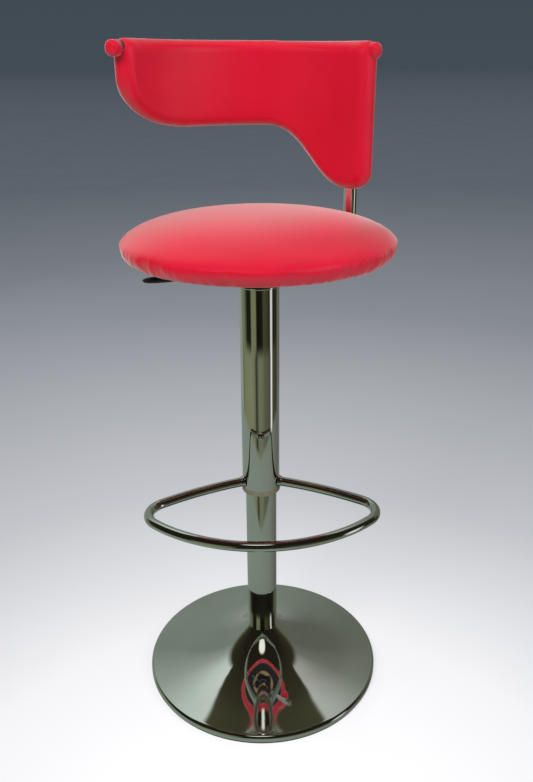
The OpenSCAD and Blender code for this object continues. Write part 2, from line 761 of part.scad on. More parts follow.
// The whole padded back as one closed loft round the column.
module back_loft(inset) {
    stations = 30;
    reach = back_half_angle - inset / back_r * 180 / PI;
    angles = [for (k = [0 : stations]) reach * sin(90 * (2 * k / stations - 1))];
    shrink = [for (a = angles) let (s = max(0, (abs(a) - (reach - 3.4)) / 3.4)) max(0.12, sqrt(1 - s * s))];
    rings = [for (k = [0 : stations]) section(angles[k], inset, shrink[k])];
    n = section_points;
    points = [for (ring_points = rings) for (p = ring_points) p];
    sides = [for (k = [0 : stations - 1], i = [0 : n - 1])
        each [[k * n + i, (k + 1) * n + i, (k + 1) * n + (i + 1) % n],
              [k * n + i, (k + 1) * n + (i + 1) % n, k * n + (i + 1) % n]]];
    ends = [[for (i = [0 : n - 1]) i], [for (i = [n - 1 : -1 : 0]) stations * n + i]];
    polyhedron(points = points, faces = concat(sides, ends));
}

// The room taken inside the back by the post, the rail and the plywood core.
module back_insert_room(clear) {
    round_to(post_angle) translate([post_r, 0, lobe_low - 30])
        cylinder(r = post_d / 2 + clear, h = rail_z - lobe_low + 30, $fn = 24);
    rail_shape(rail_d / 2 + clear);
    rail_end_room(clear);
    core_shape(clear);
    round_to(post_angle) translate([core_r, -4, lobe_low + 30])
        cube([post_r - core_r, 8, rail_z - lobe_low - 50]);
}

// The core is a curved plywood panel: a wide band and a tongue down to the lobe.
module core_band(from, to, low, high, clear) {
    translate([0, 0, low - clear]) rotate([0, 0, 90 - to])
        rotate_extrude(angle = to - from, $fn = 120)
            translate([core_r - clear, 0]) square([core_t + 2 * clear, high - low + 2 * clear]);
}

module core_shape(clear) {
    turn = clear / core_r * 180 / PI;
    core_band(-back_half_angle + 20 - turn, back_half_angle - 6 + turn, back_low + 22, rail_z - 16, clear);
    core_band(post_angle - 10 - turn, back_half_angle - 6 + turn, lobe_low + 24, back_low + 24, clear);
}

module back_core() {
    color("burlywood") seat_place() difference() {
        core_shape(0);
        core_screw_places() cylinder(r = screw_r + touch, h = 20, center = true, $fn = 24);
    }
}

module core_screw_places() {
    for (z = [lobe_low + 45, back_low + 38, rail_z - 30]) round_to(post_angle)
        translate([core_r + core_t / 2, 0, z]) rotate([0, 90, 0]) children();
}

module core_screws() {
    color("gainsboro") seat_place() core_screw_places() {
        translate([0, 0, -core_t / 2 - touch]) cylinder(r = screw_r, h = core_t + 0.4, $fn = 24);
        translate([0, 0, -core_t / 2 - 1.5 - touch]) cylinder(r = 4, h = 1.5, $fn = 24);
    }
}

module back_foam() {
    color("khaki") seat_place() difference() {
        back_loft(cover_t + 0.1);
        back_insert_room(gap);
        core_screw_places() translate([0, 0, -6]) cylinder(r = 4.1, h = 8, $fn = 16);
    }
}

module back_cover() {
    color("crimson") seat_place() difference() {
        back_loft(0);
        back_loft(cover_t);
        round_to(post_angle) translate([post_r, 0, lobe_low - 30])
            cylinder(r = post_d / 2 + 0.2, h = 60, $fn = 24);
        rail_end_room(gap);
    }
}

// A covered end of the rail that stands out past the edge of the back.
module rail_cap(side, angle) {
    color("crimson") seat_place() rail_plane() round_to(side * angle) translate([rail_r, 0, 0])
        rotate([side * 90, 0, 0]) rotate_extrude($fn = 48)
            polygon(concat([[0, 0.1], [rail_cap_r - 1, 0.1]],
                [for (a = [0 : 15 : 90]) [rail_cap_r * cos(a), 2 + 7 * sin(a)]]));
}

module rail_cap_left() { rail_cap(-1, rail_left_angle); }
module rail_cap_right() { rail_cap(1, rail_right_angle); }

base_shell();
base_plate();
base_weight();
base_ring();
column_flange();
flange_bolts();
column_tube();
column_bush();
rod_seat();
lower_race();
ball_cage();
bearing_balls();
upper_race();
rod_clip();
piston_rod();
piston_head();
rod_buffer();
gas_cylinder();
rod_guide();
release_pin();
sleeve_tube();
sleeve_cap();
sleeve_guide();
footrest_hoop();
taper_socket();
lift_housing();
seat_plate();
plate_bolts();
tee_nuts();
lever_rod();
lever_grip();
lever_pin();
seat_board();
seat_foam();
seat_cover();
dust_cover();
back_post();
post_clamps();
clamp_screws();
post_plug();
back_rail();
back_core();
core_screws();
back_foam();
back_cover();
rail_cap_left();
rail_cap_right();
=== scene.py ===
# Adjustable swivel stool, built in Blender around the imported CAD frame. All lengths are in metres.
import json
import math

import bmesh
import bpy
import numpy as np
from mathutils import Matrix, Vector
from mathutils.bvhtree import BVHTree


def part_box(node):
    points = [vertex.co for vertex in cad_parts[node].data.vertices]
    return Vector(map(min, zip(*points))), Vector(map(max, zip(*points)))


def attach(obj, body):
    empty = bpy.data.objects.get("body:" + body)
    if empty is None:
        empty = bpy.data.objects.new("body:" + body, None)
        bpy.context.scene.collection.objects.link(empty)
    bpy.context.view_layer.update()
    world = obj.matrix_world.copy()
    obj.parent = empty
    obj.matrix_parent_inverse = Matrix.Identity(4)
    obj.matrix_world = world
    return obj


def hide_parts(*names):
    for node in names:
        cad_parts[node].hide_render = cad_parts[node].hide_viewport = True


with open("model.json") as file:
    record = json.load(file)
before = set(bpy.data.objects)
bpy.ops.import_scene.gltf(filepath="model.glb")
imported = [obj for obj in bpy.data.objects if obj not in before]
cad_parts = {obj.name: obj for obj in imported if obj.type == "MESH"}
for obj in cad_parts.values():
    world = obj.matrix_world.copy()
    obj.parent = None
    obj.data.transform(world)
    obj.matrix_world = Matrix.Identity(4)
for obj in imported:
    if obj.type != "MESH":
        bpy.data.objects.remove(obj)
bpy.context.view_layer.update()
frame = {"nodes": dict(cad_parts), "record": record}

MM = 0.001
nodes = frame["nodes"]
scene = bpy.context.scene


def low(node):
    return np.array(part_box(node)[0])


def high(node):
    return np.array(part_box(node)[1])


# ------------------------------------------------------------------ sizes, as in the part's source
TURN = 6.0                                     # degrees the seat group is turned round the column
BACK_R, BACK_T = 230 * MM, 36 * MM
HALF = 55.4                                    # half of the angle that the back spans
BACK_TOP, TOP_FALL = 1029 * MM, 2.8 * MM
BACK_LOW, LOBE_LOW = 900 * MM, 805 * MM
POST_ANGLE = HALF - 9.9
POST_D = 22 * MM
SEAT_R = high("seat_cover")[0]
SEAT_RIM_Z = 750 * MM
SEAT_TOP = high("seat_cover")[2]
SEAT_LOW = low("seat_cover")[2]
COLUMN_R = high("column_tube")[0]
SLEEVE_R = high("sleeve_tube")[0]
BASE_R = high("base_shell")[0]
NECK_H = high("base_shell")[2]


def around(r, angle, z):
    """A point of the seat group: angle in degrees from +Y towards +X, before the seat's turn."""
    a = math.radians(angle - TURN)
    return (r * math.sin(a), r * math.cos(a), z)


# ------------------------------------------------------------------ mesh helpers
SHARP = math.radians(35)                       # edges that turn more than this stay crisp


def finish_mesh(name, verts, faces):
    mesh = bpy.data.meshes.new(name)
    mesh.from_pydata([tuple(map(float, v)) for v in verts], [], faces)
    mesh.validate()
    b = bmesh.new()
    b.from_mesh(mesh)
    bmesh.ops.remove_doubles(b, verts=b.verts, dist=1e-6)
    bmesh.ops.recalc_face_normals(b, faces=b.faces)
    for f in b.faces:
        f.smooth = True
    for e in b.edges:
        if len(e.link_faces) == 2 and e.calc_face_angle(0) > SHARP:
            e.smooth = False
    b.to_mesh(mesh)
    b.free()
    obj = bpy.data.objects.new(name, mesh)
    scene.collection.objects.link(obj)
    return obj


def lathe(name, profile, segments=192, close=True):
    """A profile of (radius, height) points turned round Z. close joins the last point to the first."""
    verts, faces, n = [], [], len(profile)
    for k in range(segments):
        a = 2 * math.pi * k / segments
        verts += [(r * math.cos(a), r * math.sin(a), z) for r, z in profile]
    for k in range(segments):
        for i in range(n if close else n - 1):
            a, b = k * n + i, k * n + (i + 1) % n
            c, d = ((k + 1) % segments) * n + (i + 1) % n, ((k + 1) % segments) * n + i
            faces.append((a, b, c, d))
    return finish_mesh(name, verts, faces)


def rounded(points, radius, steps=5):
    """A closed outline with each corner rounded by up to radius."""
    out, n = [], len(points)
    for i in range(n):
        p, a, b = (np.array(points[j % n], float) for j in (i, i - 1, i + 1))
        ua, ub = a - p, b - p
        la, lb = np.linalg.norm(ua), np.linalg.norm(ub)
        cut = min(radius, la / 2.2, lb / 2.2)
        s, e = p + ua / la * cut, p + ub / lb * cut
        for k in range(steps + 1):
            t = k / steps
            out.append(tuple((1 - t) ** 2 * s + 2 * t * (1 - t) * p + t * t * e))
    return out


def sweep(name, path, radius, sides=32, scale=None):
    """A round tube along a path of points; scale gives each point's share of the radius."""
    path = [Vector(p) for p in path]
    n = len(path)
    tangents = [(path[min(i + 1, n - 1)] - path[max(i - 1, 0)]).normalized() for i in range(n)]
    up = Vector((0, 0, 1)) if abs(tangents[0].z) < 0.9 else Vector((1, 0, 0))
    side = tangents[0].cross(up).normalized()
    verts, faces = [], []
    for i in range(n):
        side = (side - tangents[i] * side.dot(tangents[i])).normalized()
        other = tangents[i].cross(side)
        r = radius * (scale[i] if scale else 1)
        for k in range(sides):
            a = 2 * math.pi * k / sides
            verts.append(path[i] + side * (r * math.cos(a)) + other * (r * math.sin(a)))
    for i in range(n - 1):
        for k in range(sides):
            a, b = i * sides + k, i * sides + (k + 1) % sides
            faces.append((a, b, b + sides, a + sides))
    faces += [tuple(range(sides))[::-1], tuple(range((n - 1) * sides, n * sides))]
    return finish_mesh(name, verts, faces)


# ------------------------------------------------------------------ material helpers
def linear(r, g, b):
    """A colour given as 0-255 display values, as linear numbers."""
    return tuple(c / 255 / 12.92 if c <= 10 else ((c / 255 + 0.055) / 1.055) ** 2.4
                 for c in (r, g, b)) + (1,)


class Nodes:
    """A short way to write node trees."""

    def __init__(self, tree):
        self.tree = tree
        tree.nodes.clear()

    def add(self, kind, inputs=None, **settings):
        node = self.tree.nodes.new(kind)
        for key, value in settings.items():
            setattr(node, key, value)
        for key, value in (inputs or {}).items():
            self.set(node.inputs[key], value)
        return node

    def set(self, socket, value):
        if isinstance(value, bpy.types.NodeSocket):
            self.tree.links.new(value, socket)
        else:
            socket.default_value = value

    def math(self, kind, a, b=0.0):
        return self.add("ShaderNodeMath", {0: a, 1: b}, operation=kind).outputs[0]

    def ramp(self, fac, stops, kind="LINEAR"):
        node = self.add("ShaderNodeValToRGB", {"Fac": fac})
        node.color_ramp.interpolation = kind
        while len(node.color_ramp.elements) < len(stops):
            node.color_ramp.elements.new(0.5)
        for e, (pos, colour) in zip(node.color_ramp.elements, stops):
            e.position = pos
        for e, (pos, colour) in zip(node.color_ramp.elements, stops):
            e.position = pos
            e.color = colour if len(colour) == 4 else (*colour, 1)
        return node.outputs[0]

    def mix(self, fac, a, b):
        node = self.add("ShaderNodeMix", data_type="RGBA")
        self.set(node.inputs[0], fac)
        self.set(node.inputs[6], a)
        self.set(node.inputs[7], b)
        return node.outputs[2]

    def span(self, value, from_low, from_high, to_low=0.0, to_high=1.0, smooth=False):
        node = self.add("ShaderNodeMapRange", {0: value, 1: from_low, 2: from_high, 3: to_low, 4: to_high})
        node.interpolation_type = "SMOOTHSTEP" if smooth else "LINEAR"
        return node.outputs[0]

    def noise(self, vector, scale, detail=3.0, rough=0.5):
        return self.add("ShaderNodeTexNoise", {"Vector": vector, "Scale": scale, "Detail": detail,
                                               "Roughness": rough}).outputs["Fac"]


def new_material(name):
    mat = bpy.data.materials.new(name)
    mat.use_nodes = True
    n = Nodes(mat.node_tree)
    place = n.add("ShaderNodeTexCoord").outputs["Object"]
    out = n.add("ShaderNodeOutputMaterial")
    bsdf = n.add("ShaderNodeBsdfPrincipled")
    n.tree.links.new(bsdf.outputs[0], out.inputs[0])
    return mat, n, place, bsdf


def bump(n, bsdf, heights):
    """heights: (height socket, distance in metres, strength)."""
    normal = None
    for height, distance, strength in heights:
        node = n.add("ShaderNodeBump", {"Height": height, "Distance": distance, "Strength": strength})
        if normal is not None:
            n.set(node.inputs["Normal"], normal)
        normal = node.outputs[0]
    n.set(bsdf.inputs["Normal"], normal)


def metal(name, colour, dark, rough, rough_range, wear=0.0, wavy=0.0, scratch=900.0):
    mat, n, place, bsdf = new_material(name)
    broad = n.noise(place, 9.0, 4.0)
    fine = n.noise(place, scratch, 2.0)
    n.set(bsdf.inputs["Base Color"], n.mix(n.span(broad, 0.35, 0.7), dark, colour))
    bsdf.inputs["Metallic"].default_value = 1.0
    n.set(bsdf.inputs["Roughness"], n.math("ADD", n.span(broad, 0.3, 0.75, rough, rough + rough_range),
                                           n.span(fine, 0.45, 0.8, 0.0, wear)))
    bump(n, bsdf, [(fine, 0.00002, 0.25), (n.noise(place, 22.0, 1.0), 0.0004, wavy)])
    return mat


def vinyl(name):
    """Upholstery vinyl: fine pebbled grain with painted shade in its valleys, soft stretch marks and a satin film
    over a deep colour.
    """
    mat, n, place, bsdf = new_material(name)
    cells = n.add("ShaderNodeTexVoronoi", {"Vector": place, "Scale": 820.0},
                  feature="DISTANCE_TO_EDGE").outputs[0]
    pores = n.add("ShaderNodeTexVoronoi", {"Vector": place, "Scale": 1500.0}).outputs[0]
    grain = n.span(cells, 0.0, 0.14, smooth=True)
    broad = n.noise(place, 7.0, 3.0)
    creases = n.noise(place, 60.0, 5.0, 0.62)
    colour = n.mix(n.span(broad, 0.3, 0.72), linear(216, 6, 44), linear(230, 12, 54))
    # Painted shade: the valleys between the grain's pebbles are darkened by up to 16% toward a deep red.
    colour = n.mix(n.span(grain, 0.0, 1.0, 0.16, 0.0), colour, linear(120, 4, 18))
    n.set(bsdf.inputs["Base Color"], colour)
    rough = n.math("ADD", n.span(broad, 0.3, 0.7, 0.34, 0.40), n.span(grain, 0.0, 1.0, 0.06, 0.0))
    n.set(bsdf.inputs["Roughness"], rough)
    bsdf.inputs["Specular IOR Level"].default_value = 0.5
    bsdf.inputs["Coat Weight"].default_value = 0.5
    bsdf.inputs["Coat Roughness"].default_value = 0.36
    bsdf.inputs["Sheen Weight"].default_value = 0.55
    bsdf.inputs["Sheen Roughness"].default_value = 0.35
    bump(n, bsdf, [(grain, 0.00012, 0.22), (pores, 0.00005, 0.15), (creases, 0.0006, 0.07)])
    return mat


def soft_plastic(name, colour, dark, rough, grain_scale=1400.0, grain=0.2, through=0.0):
    mat, n, place, bsdf = new_material(name)
    broad = n.noise(place, 18.0, 4.0)
    fine = n.noise(place, grain_scale, 2.0)
    n.set(bsdf.inputs["Base Color"], n.mix(n.span(broad, 0.3, 0.7), dark, colour))
    n.set(bsdf.inputs["Roughness"], n.span(n.noise(place, 70.0, 4.0), 0.3, 0.7, rough - 0.05, rough + 0.08))
    if through:
        bsdf.inputs["Transmission Weight"].default_value = through
        bsdf.inputs["IOR"].default_value = 1.5
        bsdf.inputs["Subsurface Weight"].default_value = 0.3
        bsdf.inputs["Subsurface Radius"].default_value = (0.004, 0.003, 0.002)
    bump(n, bsdf, [(fine, 0.00005, grain)])
    return mat


def plywood(name):
    mat, n, place, bsdf = new_material(name)
    stretched = n.add("ShaderNodeMapping", {"Vector": place, "Scale": (1.0, 14.0, 1.0)}).outputs[0]
    grain = n.noise(stretched, 14.0, 6.0, 0.6)
    z = n.add("ShaderNodeSeparateXYZ", {0: place}).outputs[2]
    plies = n.math("PINGPONG", z, 0.0014)
    colour = n.mix(n.span(grain, 0.35, 0.65), linear(176, 138, 92), linear(214, 180, 132))
    colour = n.mix(n.span(plies, 0.0004, 0.0009, 0.25, 0.0), colour, linear(120, 86, 52))
    n.set(bsdf.inputs["Base Color"], colour)
    n.set(bsdf.inputs["Roughness"], n.span(grain, 0.3, 0.7, 0.55, 0.75))
    bump(n, bsdf, [(grain, 0.0003, 0.3)])
    return mat


def lining(name):
    mat, n, place, bsdf = new_material(name)
    stretched = n.add("ShaderNodeMapping", {"Vector": place, "Scale": (1.0, 3.0, 1.0)}).outputs[0]
    fibres = n.noise(stretched, 900.0, 4.0, 0.7)
    dots = n.add("ShaderNodeTexVoronoi", {"Vector": place, "Scale": 420.0}).outputs[0]
    n.set(bsdf.inputs["Base Color"], n.mix(fibres, linear(20, 20, 21), linear(48, 48, 50)))
    n.set(bsdf.inputs["Roughness"], n.span(dots, 0.0, 0.6, 0.75, 0.95))
    bsdf.inputs["Sheen Weight"].default_value = 0.3
    bump(n, bsdf, [(fibres, 0.0002, 0.4), (dots, 0.0001, 0.3)])
    return mat


def foam_material(name):
    mat, n, place, bsdf = new_material(name)
    cells = n.add("ShaderNodeTexVoronoi", {"Vector": place, "Scale": 700.0}).outputs[0]
    n.set(bsdf.inputs["Base Color"], n.mix(cells, linear(170, 150, 90), linear(226, 212, 160)))
    bsdf.inputs["Roughness"].default_value = 0.95
    bump(n, bsdf, [(cells, 0.0005, 0.5)])
    return mat


MATERIALS = {
    "chrome": metal("chrome", linear(238, 239, 238), linear(226, 228, 226), 0.02, 0.025, 0.02, 0.02),
    "polished_steel": metal("polished_steel", linear(214, 215, 216), linear(196, 197, 198), 0.14, 0.1, 0.08),
    "zinc_steel": metal("zinc_steel", linear(190, 193, 196), linear(158, 162, 168), 0.30, 0.14, 0.1),
    "spring_steel": metal("spring_steel", linear(92, 92, 96), linear(60, 60, 64), 0.35, 0.12, 0.1),
    "cast_iron": metal("cast_iron", linear(92, 92, 94), linear(62, 62, 64), 0.62, 0.15, 0.1, 0.4, 300.0),
    "brass": metal("brass", linear(214, 180, 104), linear(188, 152, 84), 0.22, 0.12, 0.08),
    "black_paint": soft_plastic("black_paint", linear(30, 30, 32), linear(20, 20, 22), 0.42, 900.0, 0.45),
    "rubber": soft_plastic("rubber", linear(30, 30, 31), linear(20, 20, 20), 0.8, 700.0, 0.5),
    "nylon": soft_plastic("nylon", linear(228, 226, 216), linear(214, 210, 198), 0.45),
    "clear_nylon": soft_plastic("clear_nylon", linear(158, 152, 128), linear(138, 132, 108),
                                0.28, 900.0, 0.2, 0.35),
    "black_plastic": soft_plastic("black_plastic", linear(44, 42, 46), linear(30, 29, 32), 0.26, 600.0, 0.25),
    "plywood": plywood("plywood"),
    "foam": foam_material("foam"),
    "red_vinyl": vinyl("red_vinyl"),
    "lining_cloth": lining("lining_cloth"),
}


def dress(obj, slot, body, *replaced):
    """Gives a finished piece its material and its body, and hides the CAD nodes that it stands for."""
    obj.data.materials.clear()
    obj.data.materials.append(MATERIALS[slot])
    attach(obj, body)
    if replaced:
        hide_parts(*replaced)
    return obj


for part in frame["record"]["subparts"]:
    mesh = nodes[part["node"]].data
    mesh.materials.clear()
    mesh.materials.append(MATERIALS[part["material_slot"]])

# ------------------------------------------------------------------ base, column and sleeve
RIM_H, RIM_ROLL, WALL, CONE, SWEEP = 15 * MM, 5 * MM, 1.6 * MM, 0.4, 3.2
neck_r = COLUMN_R + 0.1 * MM


def base_height(r):
    s = (BASE_R - RIM_ROLL - r) / (BASE_R - RIM_ROLL - neck_r)
    return RIM_H + (NECK_H - RIM_H) * (CONE * s + (1 - CONE) * s ** SWEEP)


radii = [neck_r + (BASE_R - RIM_ROLL - neck_r) * (i / 110) ** 1.6 for i in range(111)]
outer = [(r, base_height(r)) for r in radii]
outer += [(BASE_R - RIM_ROLL + RIM_ROLL * math.cos(a), RIM_H - RIM_ROLL + RIM_ROLL * math.sin(a))
          for a in np.radians(np.arange(80, -1, -8))]
outer.append((BASE_R, low("base_shell")[2]))
inner = [(r if i < len(radii) else r - WALL, z - WALL) for i, (r, z) in enumerate(outer[:-1])]
inner.append((BASE_R - WALL, low("base_shell")[2]))
dress(lathe("base_dome", outer + inner[::-1], 256), "chrome", "base", "base_shell")

column_low, column_high = low("column_tube")[2], high("column_tube")[2]
column_in_r = COLUMN_R - 2 * MM
column_line = rounded([(COLUMN_R, column_low), (COLUMN_R, column_high),
                       (column_in_r, column_high), (column_in_r, column_low)], 0.4 * MM)
dress(lathe("column_skin", column_line, 160), "chrome", "base", "column_tube")
sleeve_low, sleeve_high = low("sleeve_tube")[2], high("sleeve_tube")[2]
sleeve_in_r = SLEEVE_R - 1.5 * MM
sleeve_line = rounded([(SLEEVE_R, sleeve_low), (SLEEVE_R, sleeve_high),
                       (sleeve_in_r, sleeve_high), (sleeve_in_r, sleeve_low)], 0.3 * MM)
dress(lathe("sleeve_skin", sleeve_line, 160), "chrome", "lift", "sleeve_tube")
cap_low, cap_high = low("sleeve_cap")[2], high("sleeve_cap")[2]
cap_r, cap_bore = high("sleeve_cap")[0], 14.05 * MM
cap_skirt_r = SLEEVE_R - 1.55 * MM
flange_low = cap_high - 3 * MM
cap_line = rounded([(cap_bore, cap_low), (cap_skirt_r, cap_low), (cap_skirt_r, flange_low),
                    (cap_r, flange_low), (cap_r, cap_high), (cap_bore, cap_high)], 0.9 * MM)
dress(lathe("sleeve_top_ring", cap_line, 160), "chrome", "lift", "sleeve_cap")
guide_low, guide_high = low("sleeve_guide")[2], high("sleeve_guide")[2]
guide_r = high("sleeve_guide")[0]
guide_in_r, guide_lip = COLUMN_R + 0.3 * MM, sleeve_low - 0.05 * MM
guide_line = rounded([(guide_in_r, guide_low), (guide_r, guide_low), (guide_r, guide_lip),
                      (cap_skirt_r, guide_lip), (cap_skirt_r, guide_high), (guide_in_r, guide_high)], 1.6 * MM)
dress(lathe("sleeve_bottom_ring", guide_line, 160), "clear_nylon", "lift", "sleeve_guide")

# ------------------------------------------------------------------ footrest
TUBE_R = 7.5 * MM
FOOT_Z = (low("footrest_hoop")[2] + high("footrest_hoop")[2]) / 2
REACH, FRONT_R, CORNER_R, LEG_R, LEG_ANGLE, FOOT_TURN = 197 * MM, 231 * MM, 37 * MM, 551 * MM, 20.0, 1.3


def arc(centre, radius, start, end, count):
    return [(centre[0] + radius * math.cos(a), centre[1] + radius * math.sin(a))
            for a in np.linspace(start, end, count + 1)[1:]]


leg_out = math.radians(LEG_ANGLE)
foot_start = np.array([SLEEVE_R * math.cos(leg_out), -SLEEVE_R * math.sin(leg_out)])
bow = np.array([0, FRONT_R - REACH])
leg = foot_start - LEG_R * np.array([math.sin(leg_out), math.cos(leg_out)])
gap_line = bow - leg
centre_gap = np.linalg.norm(gap_line)
toward = gap_line / centre_gap
along = ((LEG_R - CORNER_R) ** 2 - (FRONT_R - CORNER_R) ** 2 + centre_gap ** 2) / (2 * centre_gap)
across = math.sqrt((LEG_R - CORNER_R) ** 2 - along ** 2)
corner = leg + along * toward + across * np.array([toward[1], -toward[0]])


def bearing(v):
    return math.atan2(v[1], v[0])


leg_from, leg_to, corner_to = bearing(foot_start - leg), bearing(corner - leg), bearing(corner - bow)
half = [tuple(foot_start)] + arc(leg, LEG_R, leg_from, leg_to, 40)
half += arc(corner, CORNER_R, leg_to, corner_to, 30)
half += arc(bow, FRONT_R, corner_to, -math.pi / 2, 36)
hoop = half + [(-x, y) for x, y in half[-2::-1]]
turn = Matrix.Rotation(math.radians(FOOT_TURN), 4, "Z")
hoop = [turn @ Vector((x, y, FOOT_Z)) for x, y in hoop]
near = [0.0, 1.5 * MM, 3 * MM, 4.5 * MM, 6.5 * MM, 9 * MM]     # close stations where the weld swells
WELD_SWELL, WELD_LENGTH = 0.30, 3.4 * MM
first = (hoop[1] - hoop[0]).normalized()
last = (hoop[-2] - hoop[-1]).normalized()
step = (hoop[1] - hoop[0]).length
start_points = [hoop[0] + first * d for d in near if d < step]
end_points = [hoop[-1] + last * d for d in near if d < step][::-1]
hoop = start_points + hoop[1:-1] + end_points
lengths = [min((p - hoop[0]).length, (p - hoop[-1]).length) for p in hoop]
weld = [1 + WELD_SWELL * math.exp(-(d / WELD_LENGTH) ** 2) for d in lengths]
dress(sweep("footrest", hoop, TUBE_R, 40, weld), "chrome", "lift", "footrest_hoop")

# ------------------------------------------------------------------ post
post_r = BACK_R + 4.5 * MM
post_bend = 45 * MM
POST_START = 88 * MM                           # radius at which the tube ends under the seat
post_low_z = (low("back_post")[2]) + POST_D / 2
path = [around(r, POST_ANGLE, post_low_z) for r in np.linspace(POST_START, post_r - post_bend, 12)]
path += [around(post_r - post_bend + post_bend * math.sin(a), POST_ANGLE,
                post_low_z + post_bend * (1 - math.cos(a))) for a in np.radians(np.arange(5, 91, 5))]
path += [around(post_r, POST_ANGLE, z)
         for z in np.linspace(post_low_z + post_bend, high("back_post")[2], 20)[1:]]
dress(sweep("post_tube", path, POST_D / 2, 40), "chrome", "lift", "back_post")


# ------------------------------------------------------------------ soft pieces
def apply_modifiers(obj):
    graph = bpy.context.evaluated_depsgraph_get()
    mesh = bpy.data.meshes.new_from_object(obj.evaluated_get(graph))
    obj.modifiers.clear()
    old = obj.data
    obj.data = mesh
    bpy.data.meshes.remove(old)
    for f in mesh.polygons:
        f.use_smooth = True


def voxel(obj, size):
    m = obj.modifiers.new("remesh", "REMESH")
    m.mode, m.voxel_size = "VOXEL", size
    apply_modifiers(obj)


def positions(obj):
    co = np.zeros(len(obj.data.vertices) * 3)
    obj.data.vertices.foreach_get("co", co)
    return co.reshape(-1, 3)


def set_positions(obj, co):
    obj.data.vertices.foreach_set("co", co.ravel())
    obj.data.update()


def inflate(obj, pressure, held, cap):
    """Cloth under inner pressure, with the held points fixed and no point moved further than cap."""
    before = positions(obj)
    group = obj.vertex_groups.new(name="held")
    for i in np.flatnonzero(held):
        group.add([int(i)], 1.0, "REPLACE")
    cloth = obj.modifiers.new("cloth", "CLOTH")
    s = cloth.settings
    s.quality = 5
    s.mass = 0.25
    s.use_pressure = True
    s.uniform_pressure_force = pressure
    s.tension_stiffness = s.compression_stiffness = 18
    s.shear_stiffness = 8
    s.bending_stiffness = 3
    s.vertex_group_mass = "held"
    s.effector_weights.gravity = 0
    cloth.point_cache.frame_start, cloth.point_cache.frame_end = 1, 20
    for f in range(1, 21):
        scene.frame_set(f)
    apply_modifiers(obj)
    move = positions(obj) - before
    size = np.linalg.norm(move, axis=1, keepdims=True)
    set_positions(obj, before + move * np.minimum(1, cap / np.maximum(size, 1e-9)))
    scene.frame_set(1)


def settle(obj, target, keep, low_limit, high_limit):
    """Draws the blown-up skin back onto the covered shape, and leaves a little of its own rise."""
    tree = BVHTree.FromObject(target, bpy.context.evaluated_depsgraph_get())
    co = positions(obj)
    for i, p in enumerate(co):
        at, normal, _, _ = tree.find_nearest(Vector(p))
        rise = (Vector(p) - at).dot(normal)
        co[i] = at + normal * min(high_limit, max(low_limit, rise * keep))
    set_positions(obj, co)


def relax(obj, times, factor=0.5):
    b = bmesh.new()
    b.from_mesh(obj.data)
    for _ in range(times):
        bmesh.ops.smooth_vert(b, verts=b.verts, factor=factor,
                              use_axis_x=True, use_axis_y=True, use_axis_z=True)
    b.to_mesh(obj.data)
    b.free()


def subdivide(obj, levels=1):
    m = obj.modifiers.new("subdivide", "SUBSURF")
    m.levels = m.render_levels = levels
    apply_modifiers(obj)


# Seat cushion
CROWN, UNDER, ROLL, FULL = SEAT_TOP - SEAT_RIM_Z, SEAT_RIM_Z - SEAT_LOW, 28 * MM, 2.3
BOARD_R = SEAT_R - ROLL
OPEN_R = BOARD_R - 10 * MM                     # inside this the lining shows under the seat


def seat_profile(inset, steps=48):
    r, crown, under, roll = SEAT_R - inset, CROWN - inset, UNDER - inset * 0.3, ROLL - inset * 0.5
    top = [(max(r * math.cos(a) ** (2 / FULL), 0.0), SEAT_RIM_Z + crown * math.sin(a) ** (2 / FULL))
           for a in np.linspace(0, math.pi / 2, steps)]
    bottom = [(r - roll * (1 - math.cos(a)), SEAT_RIM_Z - under * math.sin(a))
              for a in np.linspace(0, math.pi / 2, 10)]
    recess = SEAT_RIM_Z - under + 8 * MM
    return ([(0.0, recess), (OPEN_R - 1 * MM, recess), (OPEN_R, SEAT_RIM_Z - under)] + bottom[::-1]
            + top[1:-1] + [(0.0, SEAT_RIM_Z + crown)])


seat_target = lathe("seat_target", seat_profile(0), 192, close=False)
seat = lathe("seat_cushion", seat_profile(5 * MM), 128, close=False)
voxel(seat, 5 * MM)
co = positions(seat)
flat = (co[:, 2] < SEAT_RIM_Z - UNDER * 0.6) & (np.hypot(co[:, 0], co[:, 1]) < BOARD_R - 4 * MM)
inflate(seat, 4.0, flat, 24 * MM)
settle(seat, seat_target, 0.05, -0.4 * MM, 0.8 * MM)
relax(seat, 5)
settle(seat, seat_target, 0.1, -0.2 * MM, 0.8 * MM)
bpy.data.objects.remove(seat_target)
subdivide(seat)
dress(seat, "red_vinyl", "lift", "seat_foam", "seat_cover")


# Back cushion
def uneven_s(t):
    c = min(1, max(0, t))
    return c ** 2.4 / (c ** 2.4 + (1 - c) ** 1.5)


def panel_low(angle):
    edge = BACK_LOW - (BACK_LOW - LOBE_LOW) * uneven_s((angle - (POST_ANGLE - 40.3)) / 38.3)
    round_angle, rise = (34.6, 95 * MM) if angle < 0 else (9.0, 30 * MM)
    s = min(1, max(0, (abs(angle) - (HALF - round_angle)) / round_angle))
    return edge + rise * (1 - (1 - s ** 2.3) ** (1 / 2.3))


def panel_high(angle):
    return BACK_TOP - TOP_FALL * math.sin(math.radians(angle)) / math.sin(math.radians(HALF))


